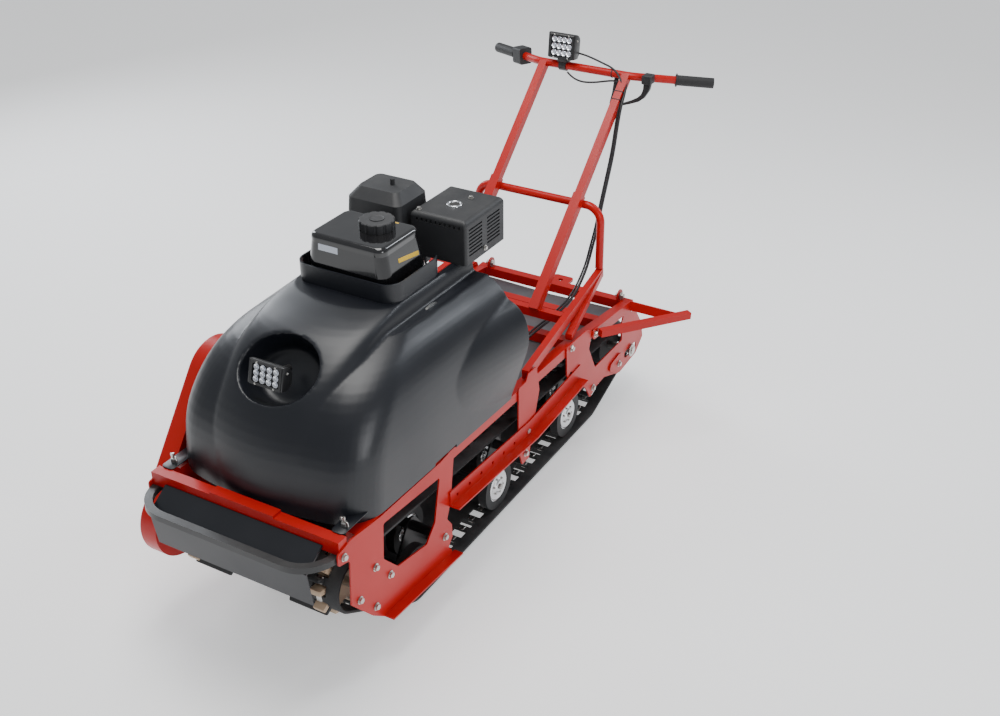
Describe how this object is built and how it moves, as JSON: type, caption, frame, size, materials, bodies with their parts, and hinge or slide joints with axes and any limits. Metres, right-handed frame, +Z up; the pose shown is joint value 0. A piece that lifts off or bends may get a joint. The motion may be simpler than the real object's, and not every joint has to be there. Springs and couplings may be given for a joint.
{
  "type": "tracked snow tug",
  "caption": "Walk-behind tracked snow tug: an engine under a moulded hood drives one wide rubber track in an open steel frame, steered by a telescopic handlebar.",
  "frame": {"origin": "on the ground under the middle of the whole machine", "axes": "+X forward, +Y to the vehicle's left, +Z up"},
  "size_m": [1.977, 0.9748, 1.1244],
  "materials": {
    "red_powder_coat": "gloss powder coat",
    "black_coat": "satin black powder coat",
    "hood_plastic": "satin moulded plastic",
    "gloss_black": "gloss black enamel",
    "matte_black": "fine matte plastic",
    "zinc": "zinc plated",
    "engine_casting": "dark cast alloy",
    "polished_hub": "polished aluminium",
    "track_rubber": "matte moulded rubber",
    "tyre_rubber": "solid rubber",
    "sprocket_nylon": "beige cast nylon",
    "deck_grey": "grey satin sheet",
    "grip_rubber": "ribbed rubber",
    "lamp_black": "black anodised",
    "belt_rubber": "toothed belt rubber"
  },
  "bodies": {
    "root": {"air_cleaner": "matte_black", "bogies": "black_coat", "brace_left": "red_powder_coat", "brace_right": "red_powder_coat", "bumper_hoop": "black_coat", "chain_case": "red_powder_coat", "deck_bars": "red_powder_coat", "deck_sheet": "deck_grey", "drive_axle": "zinc", "drive_belt": "belt_rubber", "drive_sprockets": "sprocket_nylon", "engine_bed": "red_powder_coat", "engine_block": "engine_casting", "foot_rest_left": "red_powder_coat", "foot_rest_right": "red_powder_coat", "front_apron": "hood_plastic", "front_bar": "red_powder_coat", "front_plate_left": "red_powder_coat", "front_plate_right": "red_powder_coat", "fuel_cap": "matte_black", "fuel_tank": "gloss_black", "handle_column": "red_powder_coat", "hood": "hood_plastic", "hood_lamp": "lamp_black", "idler_wheels": "tyre_rubber", "jackshaft": "zinc", "muffler_guard": "matte_black", "pulleys": "zinc", "rear_axle": "zinc", "rear_bar": "red_powder_coat", "rear_plate_left": "red_powder_coat", "rear_plate_right": "red_powder_coat", "recoil_starter": "gloss_black", "road_tyres": "tyre_rubber", "side_channel_left": "red_powder_coat", "side_channel_right": "red_powder_coat", "t_plate_left": "red_powder_coat", "t_plate_right": "red_powder_coat", "tensioner_left": "red_powder_coat", "tensioner_right": "red_powder_coat", "top_rail_left": "red_powder_coat", "top_rail_right": "red_powder_coat", "tow_bracket": "red_powder_coat", "track": "track_rubber", "wheel_hubs": "polished_hub"},
    "handle": {"handlebar": "red_powder_coat", "grip_left": "grip_rubber", "grip_right": "grip_rubber", "throttle_housing": "matte_black", "bar_lamp": "lamp_black"}
  },
  "joints": [
    {"name": "handle_height", "type": "slide", "parent": "root", "child": "handle", "axis": [-0.7314, 0, 0.682], "range_m": [-0.12, 0.06]}
  ]
}
